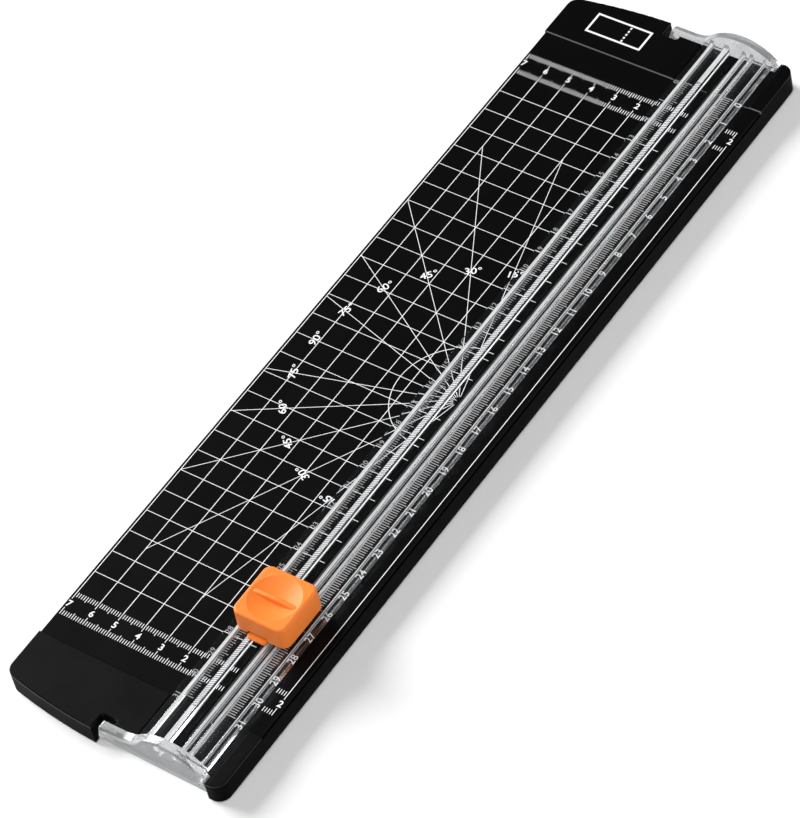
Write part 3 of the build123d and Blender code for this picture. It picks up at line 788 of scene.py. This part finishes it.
class TRIMMER_OT_frost_ribs(bpy.types.Operator):
    """Lay the milky films of painted highlight on the rail's ribs and track, and the white bars
    that paint the glints of the guide rib's fine teeth
    """
    bl_idname = "trimmer.frost_ribs"
    bl_label = "Frost ribs"

    def execute(self, context):
        middle = MIDDLE_Y / MM
        y0, y1 = -RAIL_END - middle, RAIL_END - middle
        for name, left, right, top, highlight_strength in RIB_FILMS:
            rib_z = PLATE_Z + top * MM
            face = rail_film(left + 0.15, right - 0.1, y0, y1, rib_z, RIB_FILM)
            # a film down the rib's right face paints the bright side of the rib
            side = rail_film(right, right + 0.02, y0, y1, FLANGE_Z, (top - 2.1) * MM)
            self.milky(join([face, side], name), highlight_strength)
        self.guide_rib(y0, y1)
        self.teeth()
        self.track(RULER_START - RULER_LENGTH - 5, RULER_START)
        return {"FINISHED"}

    def milky(self, film, highlight_strength):
        look = frosted(film.name + "_film", colours().frost, highlight_strength)
        finish_piece(film, "rail", look)

    def guide_rib(self, y0, y1):
        """Painted highlights on the guide rib: its face, fainter under the teeth, and the lit
        foot beside the slot.
        """
        left, right = GUIDE_RIB
        near, far = RULER_START - RULER_LENGTH - 3.0, RULER_START + 1.5
        rib_z = PLATE_Z + GUIDE_TOP * MM
        ends = [rail_film(left, right, far, y1, rib_z, RIB_FILM),
                rail_film(left, right, y0, near, rib_z, RIB_FILM),
                rail_film(-3.7, -2.87, y0, y1, PLATE_Z + 0.9 * MM, RIB_FILM)]
        self.milky(join(ends, "rail_rib_2_ends"), 0.85)
        face = rail_film(left, right, near, far, rib_z, RIB_FILM)
        face.name = "rail_rib_2"
        self.milky(face, 0.35)

    def teeth(self):
        """Painted glints of the slanting teeth along the guide rib, as white bars, one modelled
        and the rest copied.
        """
        half_long, half_wide = 0.95 * MM, 0.17 * MM
        tooth = film_bar(-half_long, half_long, -half_wide, half_wide, 0, RIB_FILM * 2)
        tooth = place(tooth, at_x(sum(GUIDE_RIB) / 2), at_y(RULER_START - RULER_LENGTH - 2.3),
                      PLATE_Z + GUIDE_TOP * MM, math.radians(TOOTH_ANGLE))
        teeth = repeat(tooth, int((RULER_LENGTH + 3.5) / TOOTH_PITCH), dy=TOOTH_PITCH * MM)
        teeth.name = "rail_teeth"
        # white bars of painted glint, in the ink's white
        finish_piece(teeth, "rail", ink_material("tooth_glint_white", 0.7))

    def track(self, y0, y1):
        """Painted highlight along the outline of the long round-ended track beside the slot."""
        pieces = []
        for side in (-1, 1):
            near, far = sorted((side * (TRACK_HALF - TRACK_LINE / 2),
                                side * (TRACK_HALF + TRACK_LINE / 2)))
            pieces.append(rail_film(TRACK_X + near, TRACK_X + far, y0, y1, FLANGE_Z, RIB_FILM))
        for y, side in ((y0, (0, 1, 0)), (y1, (0, -1, 0))):
            centre = (at_x(TRACK_X), at_y(y), FLANGE_Z)
            pieces.append(half_ring(TRACK_HALF * MM, TRACK_LINE * MM, centre, side, 0.0,
                                    RIB_FILM, 24))
        self.milky(join(pieces, "rail_track"), 0.8)


# ---- operators: stage ------------------------------------------------------------------
CAMERA_AT = (0.736965, -0.737411, 1.189784)
CAMERA_RIGHT = (0.81176963, 0.56186257, -0.15918704)
CAMERA_UP = (-0.35134156, 0.68763157, 0.63539117)
CAMERA_BACK = (0.46646455, -0.45986223, 0.7556041)
CAMERA_LENS = 198.69


def area_light(name, place_at, aim, size, power):
    deselect()
    bpy.ops.object.light_add(type="AREA", location=place_at)
    light = bpy.context.object
    light.name = name
    light.data.energy = power
    light.data.size = size
    direction = Vector(aim) - Vector(place_at)
    light.rotation_euler = direction.to_track_quat("-Z", "Y").to_euler()
    return light


class TRIMMER_OT_stage(bpy.types.Operator):
    """Set the floor, the studio lights and the camera"""
    bl_idname = "trimmer.stage"
    bl_label = "Stage"

    def execute(self, context):
        stage = context.scene.trimmer_stage
        deselect()
        bpy.ops.mesh.primitive_plane_add(size=stage.floor_size, location=(0, 0, cad_low[2]))
        floor = context.object
        floor.name = "studio_floor"
        settle(floor)
        floor.data.materials.append(self.floor_material(stage.floor))
        self.sky(context, stage)
        area_light("key_left", (-1.8, 0.05, 0.95), (0, 0, 0), 1.3, stage.key_power)
        area_light("overhead", (0.5, -0.9, 1.9), (0, 0, 0), 1.4, stage.fill_power)
        area_light("glow_far", (0.46, 0.34, 0.26), (0.12, 0.12, 0), 0.3, stage.glow_power)
        area_light("glow_near", (0.34, -0.5, 0.28), (0.06, -0.2, 0), 0.3,
                   stage.glow_power * 0.3)
        self.camera(context)
        return {"FINISHED"}

    def floor_material(self, rgb):
        material, shader, coords = new_material("pale_floor")
        add_tone(material, shader, coords, rgb, 0.005, 3.0)
        shader.inputs["Roughness"].default_value = 0.9
        shader.inputs["Specular IOR Level"].default_value = 0.1
        return material

    def sky(self, context, stage):
        world = bpy.data.worlds.new("studio")
        context.scene.world = world
        world.use_nodes = True
        tree = world.node_tree
        back = tree.nodes["Background"]
        back.inputs["Color"].default_value = (1, 1, 1, 1)
        seen = tree.nodes.new("ShaderNodeLightPath")
        level = tree.nodes.new("ShaderNodeMapRange")
        level.inputs["To Min"].default_value = stage.sky
        level.inputs["To Max"].default_value = 0.95
        tree.links.new(seen.outputs["Is Camera Ray"], level.inputs["Value"])
        tree.links.new(level.outputs["Result"], back.inputs["Strength"])

    def camera(self, context):
        bpy.ops.object.camera_add(location=CAMERA_AT)
        camera = context.object
        camera.name = "product_camera"
        turned = Matrix((CAMERA_RIGHT, CAMERA_UP, CAMERA_BACK)).transposed()
        camera.rotation_euler = turned.to_euler()
        camera.data.lens = CAMERA_LENS
        camera.data.sensor_width = 36.0
        camera.data.sensor_fit = "AUTO"
        camera.data.clip_start = 0.05
        camera.data.clip_end = 50.0
        context.scene.camera = camera
        context.scene.view_settings.view_transform = "Standard"


# ---- sidebar and registration ---------------------------------------------------------
STEPS = (
    TRIMMER_OT_dress_base,
    TRIMMER_OT_dress_rail,
    TRIMMER_OT_dress_carriage,
    TRIMMER_OT_print_grid,
    TRIMMER_OT_print_margins,
    TRIMMER_OT_print_protractor,
    TRIMMER_OT_print_mark,
    TRIMMER_OT_print_rail,
    TRIMMER_OT_frost_ribs,
    TRIMMER_OT_stage,
)
SETTINGS = (TrimmerPrint, TrimmerColours, TrimmerStage)


class TRIMMER_PT_sidebar(bpy.types.Panel):
    """Steps that dress the paper trimmer"""
    bl_idname = "TRIMMER_PT_sidebar"
    bl_label = "Paper trimmer"
    bl_space_type = "VIEW_3D"
    bl_region_type = "UI"
    bl_category = "Trimmer"

    def draw(self, context):
        for step in STEPS:
            self.layout.operator(step.bl_idname)


def register():
    for item in SETTINGS + STEPS + (TRIMMER_PT_sidebar,):
        bpy.utils.register_class(item)
    bpy.types.Scene.trimmer_print = PointerProperty(type=TrimmerPrint)
    bpy.types.Scene.trimmer_colours = PointerProperty(type=TrimmerColours)
    bpy.types.Scene.trimmer_stage = PointerProperty(type=TrimmerStage)


def unregister():
    del bpy.types.Scene.trimmer_print
    del bpy.types.Scene.trimmer_colours
    del bpy.types.Scene.trimmer_stage
    for item in reversed(SETTINGS + STEPS + (TRIMMER_PT_sidebar,)):
        bpy.utils.unregister_class(item)


def main():
    register()
    bpy.ops.trimmer.dress_base()
    bpy.ops.trimmer.dress_rail()
    bpy.ops.trimmer.dress_carriage()
    bpy.ops.trimmer.print_grid()
    bpy.ops.trimmer.print_margins()
    bpy.ops.trimmer.print_protractor()
    bpy.ops.trimmer.print_mark()
    bpy.ops.trimmer.print_rail()
    bpy.ops.trimmer.frost_ribs()
    bpy.ops.trimmer.stage()


if __name__ == "__main__":
    main()
